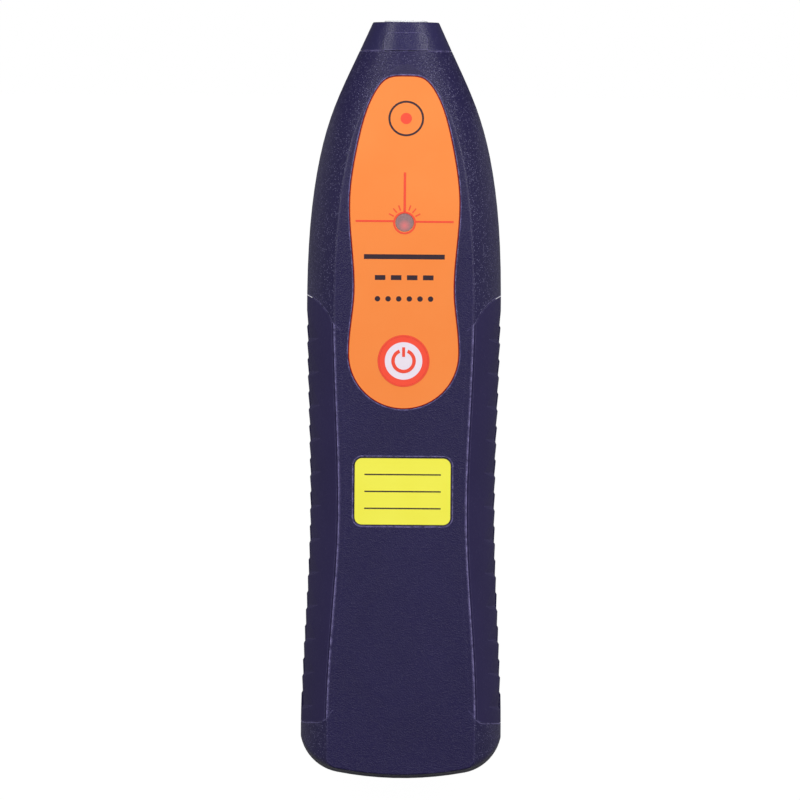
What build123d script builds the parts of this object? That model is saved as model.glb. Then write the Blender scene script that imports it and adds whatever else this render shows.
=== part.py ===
"""Hand-held light source that finds faults in glass fibre, two AA cells, flip cap on the nose.

It lies on its flat back, front face up. Y runs along it towards the nose, X runs across it,
and the origin is under its middle, on the surface that it lies on. Sizes are in millimetres.
"""
import os
from math import asin, atan2, degrees, sqrt

from build123d import *

os.makedirs("parts", exist_ok=True)

# Outer form: a turned flank cut flat in front and behind, with a drawn tail end.
total_length = 175.0
front_depth = 15.6          # from the turning axis to the flat front
rear_depth = 12.0           # from the turning axis to the flat back
tail_width = 46.2
waist_width = 42.8
shoulder_width = 44.8
neck_width = 40.2
throat_width = 32.8
nose_width = 21.3           # where the flip cap begins
tip_width = 14.9
cap_length = 7.0
tail_straight = 11.7
waist_from_tail = 57.0
shoulder_from_nose = 67.0
neck_from_nose = 33.8
throat_from_nose = 20.0
front_dip_from_nose = 57.0  # the front face starts to fall towards the nose here
front_dip_radius = 318.0
tail_end_radius = 79.0
tail_corner_radius = 10.5
tail_overhang = 0.2
tail_draft = 3.5            # degrees, away from the parting line
tail_blend_radius = 2.0     # where the tail's corners run into the flanks
flat_edge_radius = 0.5      # round the flat front and back

# Walls of the two housing halves.
flat_wall = 2.2
flank_wall = 3.2
tail_wall = 2.4
nose_block = 11.0

# Rubber side grips, moulded on to each half.
grip_thickness = 1.2
grip_start = 13.0           # lower edge, from the tail
grip_end_from_nose = 63.6   # upper edge at the side of the tool
grip_side_drop = 6.3        # how far the upper edge falls back towards the front face
grip_edge_drop = 0.65
grip_groove_drop = 0.2
grip_gap = 0.1
rib_pitch = 7.7
rib_depth = 0.5
rib_step = 1.1
rib_axis_shift = 5.0
rib_count = 12
first_rib_from_tail = 16.8

# Printed film on the front and the label below it.
film_top_from_nose = 12.9
film_bottom_from_nose = 89.6
film_foot_radius = 12.7
film_waist_width = 23.1
film_waist_rise = 13.3      # above the centre of the round foot
film_chest_width = 25.4
film_chest_rise = 34.8
film_neck_width = 21.8
film_neck_rise = 48.5
film_shoulder_width = 13.4
film_shoulder_rise = 60.8
film_crown_width = 8.6
film_crown_drop = 0.65
film_shoulder_slope = 0.62  # across for each unit along
film_thickness = 0.35
film_recess = 0.45
film_gap = 0.2
label_width = 22.1
label_height = 15.3
label_corner = 1.7
label_thickness = 0.2
label_recess = 0.35
label_gap = 0.4
label_below_film = 19.1

# Power key, its switch and the status lamp.
key_above_film_foot = 11.0
key_radius = 5.7
key_gap = 0.15
key_face_thickness = 0.75
key_carrier_thickness = 1.15
key_flange_radius = 6.9
key_flange_thickness = 0.6
key_travel = 0.3
key_stem_radius = 1.5
switch_size = 6.0
switch_height = 3.5
switch_stem_radius = 1.75
switch_stem_rise = 0.8
switch_stem_depth = 1.4
window_radius = 2.05
window_from_nose = 46.7
window_flange_radius = 3.0
window_flange_thickness = 0.8
lamp_radius = 1.5
lamp_height = 2.4

# Circuit board.
board_thickness = 1.6
board_width = 26.0
board_end_gap = 6.0         # beyond the lamp, and beyond the middle screws' bosses
board_screw_x = 10.0
board_screw_radius = 0.8
board_screw_head_radius = 1.7
board_screw_head = 1.2
board_screw_length = 5.6
board_boss_radius = 2.2
device_row_drop = 11.0      # below the lamp
chip_x = 5.0
chip_width = 4.0
chip_length = 5.0
chip_height = 1.5
inductor_x = -6.0
inductor_radius = 3.0
inductor_height = 3.2
capacitor_x = -4.0
capacitor_rise = 5.0        # above the board's lower end
capacitor_radius = 2.5
capacitor_height = 4.8

# Housing screws, driven in from the back.
screw_radius = 1.1
screw_head_radius = 2.5
screw_head = 1.8
screw_sunk = 0.6
screw_length = 18.0
screw_clearance = 0.2
screw_end_room = 0.4        # from a screw's end to the end of its hole
screw_slot_length = 2.8
screw_slot_width = 0.7
boss_radius = 3.2
middle_screw_x = 14.0
middle_screw_from_bay = 5.5
nose_screw_x = 10.4
nose_screw_from_nose = 32.0

# Battery bay, cells and door.
cell_radius = 7.25
cell_body = 49.5
cell_button_radius = 2.75
cell_button = 1.0
cell_spread = 7.55
cell_start = 10.5
cell_height = 11.2          # axis of the cells above the back
contact_sheet = 0.4
contact_reach = 1.7
contact_width = 12.0
bay_rib = 1.4
door_end_wall = 1.5
door_width = 30.4
door_gap = 0.15
door_tongue = 0.9
door_tongue_thickness = 1.0
door_rail = 2.2
door_ridge_count = 5
door_ridge_pitch = 1.8
door_ridge_width = 12.0
door_ridge_depth = 0.4

# Laser module and fibre port, all turned about the axis of the tool.
barrel_radius = 6.0
barrel_length = 28.0
barrel_from_nose = 20.0
barrel_bore = 3.0
diode_flange_radius = 2.8
diode_flange = 1.2
diode_can_radius = 2.35
diode_can = 2.4
diode_pin_radius = 0.25
diode_pin_length = 5.0
diode_pin_circle = 1.27
diode_seat = 5.0
lens_thickness = 3.0
lens_bulge = 0.6
lens_from_front = 6.0
adapter_spigot = 3.0
adapter_radius = 4.5
adapter_neck_radius = 4.0
adapter_flange_radius = 6.0
adapter_flange = 2.0
adapter_flange_depth = 5.0  # from the nose face to the front of the flange
nozzle_radius = 2.5
nozzle_length = 4.0
nozzle_lip = 0.8
nozzle_mouth_radius = 1.45
ferrule_bore_radius = 1.26
sleeve_radius = 1.6
sleeve_length = 11.4
light_path_radius = 0.8
port_clearance = 0.05
saddle_thickness = 2.0
saddle_wall = 1.8

# Flip cap, its plug and hinge.
cap_gap = 0.1
cap_wall = 1.7
cap_end_wall = 1.75
cap_edge_radius = 0.4
plug_head_radius = 5.2
plug_head = 0.35
plug_neck_radius = 4.0
plug_well_radius = 4.2
plug_well_gap = 0.2
hinge_outset = 0.15
knuckle_radius = 1.1
knuckle_gap = 0.2
pin_radius = 0.55
pin_running_gap = 0.05
cap_knuckle_width = 3.4
hinge_width = 9.0
thumb_tab_width = 9.9
thumb_tab_height = 4.1
thumb_tab_corner = 1.6
thumb_tab_rise = 0.35

# Places worked out from the sizes above.
depth = front_depth + rear_depth
tail_y = -total_length / 2
tip_y = total_length / 2
cap_tip_y = tip_y - plug_head
nose_y = tip_y - cap_length
spare = 3.0                 # how far cutting shapes stand past what they cut
mid_plane = Plane.XY.offset(rear_depth)
tool_axis = Axis((0, 0, rear_depth), (0, 1, 0))
film_bottom_y = tip_y - film_bottom_from_nose
film_foot_y = film_bottom_y + film_foot_radius
film_top_y = tip_y - film_top_from_nose
key_y = film_bottom_y + key_above_film_foot
window_y = tip_y - window_from_nose
label_y = film_bottom_y - label_below_film
cell_start_y = tail_y + cell_start
cell_end_y = cell_start_y + cell_body + cell_button
bay_tail_y = cell_start_y - contact_reach - contact_sheet - bay_rib
bay_nose_y = cell_end_y + contact_reach + contact_sheet + bay_rib
door_end_y = bay_nose_y + door_end_wall
middle_screw_y = bay_nose_y + middle_screw_from_bay
nose_screw_y = tip_y - nose_screw_from_nose
inner_front = depth - flat_wall
key_face_top = depth - (film_recess - film_thickness)
key_carrier_top = key_face_top - key_face_thickness
key_flange_top = inner_front - door_gap
switch_stem_top = key_flange_top - key_flange_thickness - 2 * key_travel
board_top = switch_stem_top - switch_stem_rise - switch_height
board_bottom = board_top - board_thickness
board_start_y = middle_screw_y + board_end_gap
board_end_y = window_y + board_end_gap
screw_seat = screw_sunk + screw_head
tongue_bottom = flat_wall + door_gap
tongue_top = tongue_bottom + door_tongue_thickness
barrel_front_y = nose_y - barrel_from_nose
barrel_back_y = barrel_front_y - barrel_length
flange_front_y = nose_y - adapter_flange_depth
nozzle_end_y = nose_y + nozzle_length
cap_base_y = nose_y + cap_gap
cavity_end_y = cap_tip_y - cap_end_wall
hinge_y = nose_y + cap_gap / 2
hinge_z = rear_depth - nose_width / 2 - hinge_outset


def flank_curve(inset):
    """Side of the tool seen from the front, from the tail straight to the nose face."""
    stations = [
        (tail_width / 2 - inset, tail_y + tail_straight),
        (waist_width / 2 - inset, tail_y + waist_from_tail),
        (shoulder_width / 2 - inset, tip_y - shoulder_from_nose),
        (neck_width / 2 - inset, tip_y - neck_from_nose),
        (throat_width / 2 - inset, tip_y - throat_from_nose),
        (nose_width / 2 - inset, nose_y),
    ]
    cap_slope = ((tip_width - nose_width) / 2, cap_length)
    return Spline(*stations, tangents=[(0, 1), cap_slope])


outer_flank = flank_curve(0)


def half_width(y):
    """Half the tool's width at a place along it."""
    low, high = 0.0, 1.0
    for _ in range(30):
        middle = (low + high) / 2
        if (outer_flank @ middle).Y < y:
            low = middle
        else:
            high = middle
    return (outer_flank @ low).X


def turned_form(inset):
    """The flank curve turned about the tool's axis, run on past the tail."""
    with BuildPart() as turned:
        with BuildSketch(mid_plane):
            with BuildLine():
                flank = flank_curve(inset)
                start_x = tail_width / 2 - inset
                Polyline(flank @ 1, (0, nose_y), (0, tail_y - spare), (start_x, tail_y - spare), flank @ 0)
            make_face()
        revolve(axis=tool_axis)
    return turned.part


def slab(front_inset, back_inset):
    """The space between a level under the front face and a level over the back."""
    dip_y = tip_y - front_dip_from_nose
    radius = front_dip_radius - front_inset
    sweep_angle = degrees(asin((tip_y - dip_y) / front_dip_radius))
    with BuildPart() as block:
        with BuildSketch(Plane.YZ):
            with BuildLine():
                fall = JernArc((dip_y, depth - front_inset), (1, 0), radius, -sweep_angle)
                start = (tail_y - spare, depth - front_inset)
                foot = (tail_y - spare, back_inset)
                toe = ((fall @ 1).X, back_inset)
                Polyline(fall @ 0, start, foot, toe, fall @ 1)
            make_face()
        extrude(amount=tail_width, both=True)
    return block.part


def plan_outline(inset, nose_end):
    """Plan of the tool at its tail: a shallow end arc, two corner arcs and straight sides."""
    corner_x = tail_width / 2 + tail_overhang - tail_corner_radius
    centres = tail_end_radius - tail_corner_radius
    end_centre_y = tail_y + tail_end_radius
    corner_y = end_centre_y - sqrt(centres**2 - corner_x**2)
    turn = degrees(atan2(corner_y - end_centre_y, corner_x))
    side_x = corner_x + tail_corner_radius - inset
    corner_radius = tail_corner_radius - inset
    with BuildSketch() as plan:
        with BuildLine():
            CenterArc((0, end_centre_y), tail_end_radius - inset, -180 - turn, 180 + 2 * turn)
            CenterArc((corner_x, corner_y), corner_radius, turn, -turn)
            CenterArc((-corner_x, corner_y), corner_radius, 180, -turn)
            Polyline((side_x, corner_y), (side_x, nose_end), (-side_x, nose_end), (-side_x, corner_y))
        make_face()
    return plan.sketch_local


def housing_form(flank_inset, flat_inset, tail_inset, nose_end):
    """The tool's outside, or with insets the hollow inside it."""
    with BuildPart() as drafted:
        with BuildSketch(mid_plane):
            add(plan_outline(tail_inset, nose_end))
        extrude(amount=front_depth, taper=tail_draft)
        with BuildSketch(mid_plane):
            add(plan_outline(tail_inset, nose_end))
        extrude(amount=-rear_depth, taper=tail_draft)
    with BuildPart() as form:
        add(turned_form(flank_inset))
        add(slab(flat_inset, flat_inset), mode=Mode.INTERSECT)
        add(drafted.part, mode=Mode.INTERSECT)
    return form.part


def half_form(keep, level):
    """Outside of one half, its tail creases and the edge of its flat face rounded."""
    with BuildPart() as half:
        add(outside)
        split(bisect_by=mid_plane, keep=keep)
        creases = [
            edge
            for edge in half.edges().filter_by(GeomType.BSPLINE)
            if edge.center().Y < tail_y + tail_straight and edge.bounding_box().size.Z > flank_wall
        ]
        fillet(creases, tail_blend_radius)
        rim = [
            edge
            for edge in half.edges()
            if abs(edge.center().Z - level) < flat_edge_radius / 10 and abs(edge.center().X) > flat_edge_radius
        ]
        fillet(rim, flat_edge_radius)
    return half.part


def grip_plan(shrink):
    """Plan of the right grip, its ends rounded towards the front face."""
    low_y = tail_y + grip_start
    high_y = tip_y - grip_end_from_nose
    outer_x = tail_width / 2 + spare
    edge_x = sqrt((shoulder_width / 2) ** 2 - front_depth**2) + 0.4
    inner_x = edge_x * 0.7
    corner = grip_side_drop / 3
    with BuildSketch() as plan:
        with BuildLine():
            crown = ThreePointArc(
                (edge_x, high_y - grip_side_drop),
                (edge_x + corner * 0.7, high_y - grip_side_drop * 0.55),
                (shoulder_width / 2 + 0.4, high_y + 0.4),
            )
            foot = ThreePointArc(
                (edge_x, low_y + corner),
                (edge_x + corner * 0.45, low_y + corner * 0.35),
                (edge_x + corner * 1.6, low_y),
            )
            Polyline(
                foot @ 0,
                (inner_x, low_y + 3 * corner),
                (inner_x, high_y - grip_side_drop - 2 * corner),
                crown @ 0,
            )
            Polyline(crown @ 1, (outer_x, (crown @ 1).Y + 0.2), (outer_x, low_y), foot @ 1)
        make_face()
        if shrink:
            offset(amount=-shrink, kind=Kind.INTERSECTION)
    return plan.sketch_local


def grip_pocket(front):
    """What is cut from the right flank of a half for its grip."""
    with BuildPart() as pocket:
        with BuildSketch(mid_plane):
            add(grip_plan(0))
        if front:
            extrude(amount=front_depth - grip_groove_drop)
        else:
            extrude(amount=grip_groove_drop - rear_depth)
        add(turned_form(grip_thickness), mode=Mode.SUBTRACT)
    return pocket.part


def ribbed_form(first_rib_y):
    """Saw-toothed rings about an axis past the far side, so the valleys fade out on the flank."""
    axis_x = -rib_axis_shift
    points = [(half_width(first_rib_y - rib_pitch) + spare, tail_y)]
    for index in range(rib_count):
        valley_y = first_rib_y + index * rib_pitch
        points.append((half_width(valley_y - rib_step), valley_y - rib_step))
        points.append((half_width(valley_y) - rib_depth, valley_y))
    last_y = first_rib_y + rib_count * rib_pitch - rib_step
    points.append((half_width(last_y), last_y))
    points.append((half_width(last_y) + spare, last_y + rib_pitch))
    with BuildPart() as ribbed:
        with BuildSketch(mid_plane):
            with BuildLine():
                Polyline((axis_x, points[0][1]), *points, (axis_x, points[-1][1]), close=True)
            make_face()
        revolve(axis=Axis((axis_x, 0, rear_depth), (0, 1, 0)))
    return ribbed.part


def grip(front):
    """The right-hand rubber grip of one half."""
    half_pitch = 0 if front else rib_pitch / 2
    with BuildPart() as rubber:
        with BuildSketch(mid_plane):
            add(grip_plan(grip_gap))
        if front:
            extrude(amount=front_depth - grip_edge_drop)
        else:
            extrude(amount=grip_edge_drop - rear_depth)
        add(turned_form(0), mode=Mode.INTERSECT)
        add(ribbed_form(tail_y + first_rib_from_tail + half_pitch), mode=Mode.INTERSECT)
        add(turned_form(grip_thickness), mode=Mode.SUBTRACT)
    return rubber.part


def film_outline(grow):
    """Outline of the printed film: round foot, slight waist, tapering to a blunt top."""
    stations = [
        (film_foot_radius + grow, film_foot_y),
        (film_waist_width / 2 + grow, film_foot_y + film_waist_rise),
        (film_chest_width / 2 + grow, film_foot_y + film_chest_rise),
        (film_neck_width / 2 + grow, film_foot_y + film_neck_rise),
        (film_shoulder_width / 2 + grow, film_foot_y + film_shoulder_rise),
    ]
    crown_x = film_crown_width / 2 + grow / 2
    crown_y = film_top_y - film_crown_drop + grow
    with BuildSketch() as outline:
        with BuildLine():
            ThreePointArc(stations[0], (0, film_bottom_y - grow), (-stations[0][0], film_foot_y))
            for side in (1, -1):
                shoulder_slope = (-side * film_shoulder_slope, 1)
                flank = Spline(
                    *[(side * x, y) for x, y in stations],
                    tangents=[(0, 1), shoulder_slope],
                )
                Spline(
                    flank @ 1,
                    (side * crown_x, crown_y),
                    (0, film_top_y + grow),
                    tangents=[shoulder_slope, (-side, 0)],
                )
        make_face()
    return outline.sketch_local


def on_front(outline, top_inset, bottom_inset):
    """An outline as a layer between two levels under the front face."""
    with BuildPart() as layer:
        with BuildSketch(mid_plane):
            add(outline)
        extrude(amount=front_depth + spare)
        add(slab(bottom_inset, -spare), mode=Mode.SUBTRACT)
        if top_inset is not None:
            add(slab(top_inset, -spare), mode=Mode.INTERSECT)
    return layer.part


def turned(*stations):
    """A solid turned about the tool's axis, from (radius, y) stations."""
    with BuildPart() as piece:
        with BuildSketch(mid_plane):
            with BuildLine():
                Polyline(*stations, close=True)
            make_face()
        revolve(axis=tool_axis)
    return piece.part


def finish(piece, name):
    """Label a finished piece and write its file."""
    piece.label = name
    export_step(piece, f"parts/{name}.step")


def cap_radius(y):
    """Radius of the flip cap's outside at a place along the tool."""
    taper = (nose_width - tip_width) / 2 / cap_length
    return nose_width / 2 - (y - nose_y) * taper


def across(radius, start_x, end_x):
    """A rod along the hinge line between two places across the tool."""
    with BuildPart() as rod:
        with BuildSketch(Plane.YZ.offset(start_x)):
            with Locations((hinge_y, hinge_z)):
                Circle(radius)
        extrude(amount=end_x - start_x)
    return rod.part


screw_places = [
    (side * x, y)
    for x, y in ((middle_screw_x, middle_screw_y), (nose_screw_x, nose_screw_y))
    for side in (1, -1)
]
board_screw_places = [
    (side * board_screw_x, y)
    for y in (board_start_y + board_end_gap, board_end_y - board_end_gap / 2)
    for side in (1, -1)
]

# Shapes that both halves share.
outside = housing_form(0, 0, 0, nose_y + spare)
front_outside = half_form(Keep.TOP, depth)
rear_outside = half_form(Keep.BOTTOM, 0)
hollow = housing_form(flank_wall, flat_wall, tail_wall, nose_y - nose_block)
port_channel = turned(
    (0, nose_y - nose_block - spare),
    (adapter_radius + port_clearance, nose_y - nose_block - spare),
    (adapter_radius + port_clearance, flange_front_y - adapter_flange),
    (adapter_flange_radius + port_clearance, flange_front_y - adapter_flange),
    (adapter_flange_radius + port_clearance, flange_front_y),
    (adapter_neck_radius + port_clearance, flange_front_y),
    (adapter_neck_radius + port_clearance, nose_y + spare),
    (0, nose_y + spare),
)
with BuildSketch() as label_outline:
    with Locations((0, label_y)):
        RectangleRounded(label_width, label_height, label_corner)
with BuildSketch() as label_pocket_outline:
    with Locations((0, label_y)):
        RectangleRounded(label_width + 2 * label_gap, label_height + 2 * label_gap, label_corner + label_gap)
with BuildSketch() as window_outline:
    with Locations((0, window_y)):
        Circle(window_radius)
with BuildSketch() as window_flange_outline:
    with Locations((0, window_y)):
        Circle(window_flange_radius)
right_front_pocket = grip_pocket(front=True)
right_rear_pocket = grip_pocket(front=False)

# Front half of the housing.
with BuildPart() as front_bosses:
    with BuildSketch(mid_plane):
        with Locations(*screw_places):
            Circle(boss_radius)
    extrude(amount=front_depth)
    with BuildSketch(Plane.XY.offset(board_top)):
        with Locations(*board_screw_places):
            Circle(board_boss_radius)
    extrude(amount=front_depth)
    add(slab(flat_wall / 2, 0), mode=Mode.INTERSECT)
    add(turned_form(flank_wall / 2), mode=Mode.INTERSECT)

with BuildPart() as front_shell:
    add(front_outside)
    add(hollow, mode=Mode.SUBTRACT)
    add(front_bosses.part)
    add(right_front_pocket, mode=Mode.SUBTRACT)
    mirror(right_front_pocket, about=Plane.YZ, mode=Mode.SUBTRACT)
    add(on_front(film_outline(film_gap), None, film_recess), mode=Mode.SUBTRACT)
    add(on_front(label_pocket_outline.sketch_local, None, label_recess), mode=Mode.SUBTRACT)
    add(port_channel, mode=Mode.SUBTRACT)
    with BuildSketch(Plane.XY.offset(inner_front - spare)):
        with Locations((0, key_y)):
            Circle(key_radius + key_gap)
        with Locations((0, window_y)):
            Circle(window_radius + key_gap / 3)
    extrude(amount=flat_wall + 2 * spare, mode=Mode.SUBTRACT)
    with BuildSketch(mid_plane):
        with Locations(*screw_places):
            Circle(screw_radius)
    extrude(amount=screw_seat + screw_length + screw_end_room - rear_depth, mode=Mode.SUBTRACT)
    with BuildSketch(Plane.XY.offset(board_top)):
        with Locations(*board_screw_places):
            Circle(board_screw_radius)
    extrude(amount=board_screw_length - board_thickness + screw_end_room, mode=Mode.SUBTRACT)
finish(front_shell.part, "front_shell")

# Back half of the housing, with the battery bay, the barrel's saddles and the hinge knuckles.
with BuildPart() as rear_inside:
    with BuildSketch(Plane.XY.offset(flat_wall / 2)):
        with Locations(*screw_places):
            Circle(boss_radius)
    extrude(amount=rear_depth - flat_wall / 2)
    with BuildSketch(Plane.XY.offset(tongue_top + door_gap)):
        for y in (bay_tail_y + bay_rib / 2, bay_nose_y - bay_rib / 2):
            with Locations((0, y)):
                Rectangle(tail_width, bay_rib)
    extrude(amount=rear_depth - tongue_top - door_gap)
    with BuildSketch(Plane.XY.offset(flat_wall / 2)):
        for y in (barrel_back_y + 2 * saddle_thickness, barrel_front_y - 2 * saddle_thickness):
            with Locations((0, y)):
                Rectangle(2 * (barrel_radius + saddle_wall), saddle_thickness)
    extrude(amount=rear_depth - flat_wall / 2)
    add(turned_form(flank_wall / 2), mode=Mode.INTERSECT)
    add(housing_form(0, 0, tail_wall / 2, nose_y), mode=Mode.INTERSECT)
    add(
        turned(
            (0, barrel_back_y - spare),
            (barrel_radius + port_clearance, barrel_back_y - spare),
            (barrel_radius + port_clearance, barrel_front_y + spare),
            (0, barrel_front_y + spare),
        ),
        mode=Mode.SUBTRACT,
    )

with BuildPart() as rear_shell:
    add(rear_outside)
    add(hollow, mode=Mode.SUBTRACT)
    add(rear_inside.part)
    add(right_rear_pocket, mode=Mode.SUBTRACT)
    mirror(right_rear_pocket, about=Plane.YZ, mode=Mode.SUBTRACT)
    add(port_channel, mode=Mode.SUBTRACT)
    # Door opening, then the groove for the door's tongues above it.
    with BuildSketch(Plane.XY.offset(-spare)):
        with Locations((0, tail_y - spare)):
            Rectangle(
                door_width + 2 * door_gap,
                door_end_y + door_gap - tail_y + spare,
                align=(Align.CENTER, Align.MIN),
            )
    extrude(amount=tongue_top + door_gap + spare, mode=Mode.SUBTRACT)
    with BuildSketch(Plane.XY.offset(flat_wall)):
        with Locations((0, tail_y - spare)):
            Rectangle(
                door_width + 2 * door_tongue + 2 * door_gap,
                door_end_y + door_gap - tail_y + spare,
                align=(Align.CENTER, Align.MIN),
            )
    extrude(amount=tongue_top + door_gap - flat_wall, mode=Mode.SUBTRACT)
    with BuildSketch(Plane.XY):
        with Locations(*screw_places):
            Circle(screw_head_radius + screw_clearance)
    extrude(amount=screw_seat, mode=Mode.SUBTRACT)
    with BuildSketch(Plane.XY):
        with Locations(*screw_places):
            Circle(screw_radius + screw_clearance / 2)
    extrude(amount=rear_depth, mode=Mode.SUBTRACT)
    knuckle_start = cap_knuckle_width / 2 + knuckle_gap
    add(across(knuckle_radius, knuckle_start, hinge_width / 2))
    add(across(knuckle_radius, -hinge_width / 2, -knuckle_start))
    add(across(knuckle_radius + knuckle_gap, -knuckle_start, knuckle_start), mode=Mode.SUBTRACT)
    add(across(pin_radius, -hinge_width, hinge_width), mode=Mode.SUBTRACT)
finish(rear_shell.part, "rear_shell")

# Rubber grips, two to each half.
for half_name, front in (("front", True), ("rear", False)):
    right_grip = grip(front)
    finish(right_grip, f"{half_name}_right_grip")
    finish(mirror(right_grip, about=Plane.YZ), f"{half_name}_left_grip")

# Battery door: a plate flush with the back, its tongues above the housing's back wall.
with BuildPart() as battery_door:
    with BuildSketch(Plane.XY):
        with Locations((0, tail_y)):
            Rectangle(door_width, door_end_y - tail_y, align=(Align.CENTER, Align.MIN))
    extrude(amount=tongue_bottom)
    with BuildSketch(Plane.XY.offset(tongue_bottom)):
        with Locations((0, tail_y)):
            Rectangle(door_width + 2 * door_tongue, door_end_y - tail_y, align=(Align.CENTER, Align.MIN))
    extrude(amount=door_tongue_thickness)
    add(rear_outside, mode=Mode.INTERSECT)
    with BuildSketch(Plane.XY.offset(tongue_top)):
        with Locations((0, tail_y + tail_wall)):
            Rectangle(
                door_width - 2 * door_rail,
                door_end_y - door_rail - tail_y - tail_wall,
                align=(Align.CENTER, Align.MIN),
            )
    extrude(amount=-(tongue_top - flat_wall + door_ridge_depth), mode=Mode.SUBTRACT)
    ridges_y = door_end_y - door_ridge_count * door_ridge_pitch
    with BuildSketch(Plane.XY):
        with Locations((0, ridges_y)):
            with GridLocations(0, door_ridge_pitch, 1, door_ridge_count):
                Rectangle(door_ridge_width, door_ridge_pitch / 2)
    extrude(amount=door_ridge_depth, mode=Mode.SUBTRACT)
finish(battery_door.part, "battery_door")

# Two cells side by side, pointing opposite ways.
for number, side in ((1, 1), (2, -1)):
    base_y = cell_start_y if side > 0 else cell_end_y
    cell_x = side * cell_spread
    with BuildPart() as cell:
        with BuildSketch(Plane.XY.offset(cell_height)):
            with BuildLine():
                Polyline(
                    (cell_x, base_y),
                    (cell_x + cell_radius, base_y),
                    (cell_x + cell_radius, base_y + side * cell_body),
                    (cell_x + cell_button_radius, base_y + side * cell_body),
                    (cell_x + cell_button_radius, base_y + side * (cell_body + cell_button)),
                    (cell_x, base_y + side * (cell_body + cell_button)),
                    close=True,
                )
            make_face()
        revolve(axis=Axis((cell_x, 0, cell_height), (0, 1, 0)))
    finish(cell.part, f"cell_{number}")


def contact(places, sheet_y, reach):
    """A sheet contact; each place is (x, True) for a leaf spring or (x, False) for a flat stud."""
    toward = 1 if reach > 0 else -1
    low_x = min(x for x, _ in places) - contact_width / 2
    high_x = max(x for x, _ in places) + contact_width / 2
    face_y = sheet_y + toward * contact_sheet / 2
    with BuildPart() as piece:
        with BuildSketch(Plane.XY.offset(tongue_top + 2 * door_gap)):
            with Locations(((low_x + high_x) / 2, sheet_y)):
                Rectangle(high_x - low_x, contact_sheet)
        extrude(amount=cell_height + contact_width / 2 - tongue_top - 2 * door_gap)
        for x, springy in places:
            if springy:
                with BuildSketch(Plane.YZ.offset(x - contact_width / 4)):
                    with BuildLine():
                        leaf = ThreePointArc(
                            (face_y, cell_height - contact_width / 3),
                            (face_y + reach - toward * contact_sheet / 2, cell_height),
                            (face_y, cell_height + contact_width / 3),
                        )
                    SlotArc(arc=leaf, height=contact_sheet)
                extrude(amount=contact_width / 2)
            else:
                with BuildSketch(Plane.XZ.offset(-face_y)):
                    with Locations((x, cell_height)):
                        Circle(cell_button_radius)
                extrude(amount=-reach)
    return piece.part


tail_sheet_y = bay_tail_y + bay_rib + contact_sheet / 2
nose_sheet_y = bay_nose_y - bay_rib - contact_sheet / 2
finish(contact([(cell_spread, True), (-cell_spread, False)], tail_sheet_y, contact_reach), "bridge_contact")
finish(contact([(-cell_spread, True)], nose_sheet_y, -contact_reach), "negative_contact")
finish(contact([(cell_spread, False)], nose_sheet_y, -contact_reach), "positive_contact")

# Printed film and plain label, both flush in shallow recesses.
with BuildPart() as front_overlay:
    add(on_front(film_outline(0), film_recess - film_thickness, film_recess))
    with BuildSketch(mid_plane):
        with Locations((0, key_y)):
            Circle(key_radius + key_gap)
        with Locations((0, window_y)):
            Circle(window_radius + key_gap / 3)
    extrude(amount=front_depth + spare, mode=Mode.SUBTRACT)
finish(front_overlay.part, "front_overlay")
label_sheet = on_front(label_outline.sketch_local, label_recess - label_thickness, label_recess)
finish(label_sheet, "yellow_label")

# Status window, a clear rod with a flange behind the front wall, and the lamp on the board.
with BuildPart() as led_window:
    with BuildSketch(Plane.XY.offset(board_top + lamp_height + key_travel)):
        add(window_outline.sketch_local)
    extrude(amount=front_depth)
    add(slab(film_recess - film_thickness, 0), mode=Mode.INTERSECT)
    add(
        on_front(
            window_flange_outline.sketch_local,
            flat_wall + port_clearance,
            flat_wall + port_clearance + window_flange_thickness,
        )
    )
finish(led_window.part, "led_window")
with BuildPart() as indicator_led:
    with BuildSketch(Plane.XY.offset(board_top)):
        with Locations((0, window_y)):
            Circle(lamp_radius)
    extrude(amount=lamp_height)
    fillet(indicator_led.edges().group_by(Axis.Z)[-1], lamp_radius * 0.8)
finish(indicator_led.part, "indicator_led")

# Power key: printed face on a moulded carrier, which presses the switch's stem.
with BuildPart() as power_button:
    with BuildSketch(Plane.XY.offset(key_carrier_top)):
        with Locations((0, key_y)):
            Circle(key_radius)
    extrude(amount=key_face_thickness)
    fillet(power_button.edges().group_by(Axis.Z)[-1], key_gap)
finish(power_button.part, "power_button")
with BuildPart() as key_carrier:
    with BuildSketch(Plane.XY.offset(switch_stem_top)):
        with Locations((0, key_y)):
            Circle(key_stem_radius)
    extrude(amount=key_flange_top - switch_stem_top)
    with BuildSketch(Plane.XY.offset(key_flange_top)):
        with Locations((0, key_y)):
            Circle(key_flange_radius)
    extrude(amount=-key_flange_thickness)
    with BuildSketch(Plane.XY.offset(key_flange_top)):
        with Locations((0, key_y)):
            Circle(key_radius)
    extrude(amount=key_carrier_top - key_flange_top)
finish(key_carrier.part, "key_carrier")
with BuildPart() as switch_stem:
    with BuildSketch(Plane.XY.offset(switch_stem_top)):
        with Locations((0, key_y)):
            Circle(switch_stem_radius)
    extrude(amount=-(switch_stem_rise + switch_stem_depth))
finish(switch_stem.part, "switch_stem")
with BuildPart() as switch_body:
    with BuildSketch(Plane.XY.offset(board_top)):
        with Locations((0, key_y)):
            Rectangle(switch_size, switch_size)
    extrude(amount=switch_height)
    with BuildSketch(Plane.XY.offset(board_top + switch_height)):
        with Locations((0, key_y)):
            Circle(switch_stem_radius + port_clearance)
    extrude(amount=-(switch_stem_depth + 2 * key_travel), mode=Mode.SUBTRACT)
finish(switch_body.part, "switch_body")

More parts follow.
